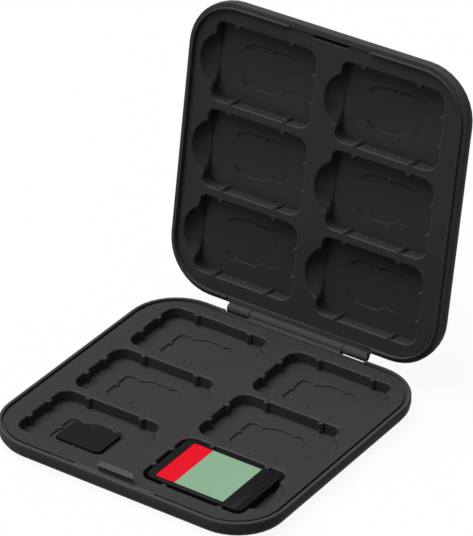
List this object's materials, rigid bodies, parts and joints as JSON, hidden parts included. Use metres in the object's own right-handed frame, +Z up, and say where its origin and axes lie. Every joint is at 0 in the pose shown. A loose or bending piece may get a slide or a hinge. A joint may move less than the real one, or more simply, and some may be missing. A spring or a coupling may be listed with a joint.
{
  "type": "game card case",
  "caption": "Hinged square pocket case with round corners; both halves hold a tray of ribbed card pockets with finger scoops and memory card recesses, shut by a snap hook.",
  "frame": {"origin": "centre of the base's flat underside, halfway along its width and its depth", "axes": "+X along the hinge pin, -Y to the latch, +Y to the hinge, +Z up from the underside"},
  "size_m": [0.0924, 0.1107, 0.0961],
  "materials": {
    "shell_plastic": "fine matte grain",
    "tray_plastic": "fine matte grain",
    "pin_steel": "drawn",
    "card_plastic": "satin",
    "board_laminate": "satin solder mask",
    "label_print": "printed film",
    "memory_plastic": "satin",
    "contact_gold": "plated"
  },
  "bodies": {
    "base": {"base_shell": "shell_plastic", "base_tray": "tray_plastic", "hinge_pin": "pin_steel", "game_card_front_shell": "card_plastic", "game_card_rear_shell": "card_plastic", "game_card_board": "board_laminate", "game_card_label": "label_print", "memory_card_body": "memory_plastic", "memory_card_contacts": "contact_gold"},
    "lid": {"lid_shell": "shell_plastic", "lid_tray": "tray_plastic"}
  },
  "joints": [
    {"name": "lid_hinge", "type": "hinge", "parent": "base", "child": "lid", "pos_m": [0, 0.04645, 0.00565], "axis": [-1, 0, 0], "range_deg": [-98.75, 81.25]}
  ]
}
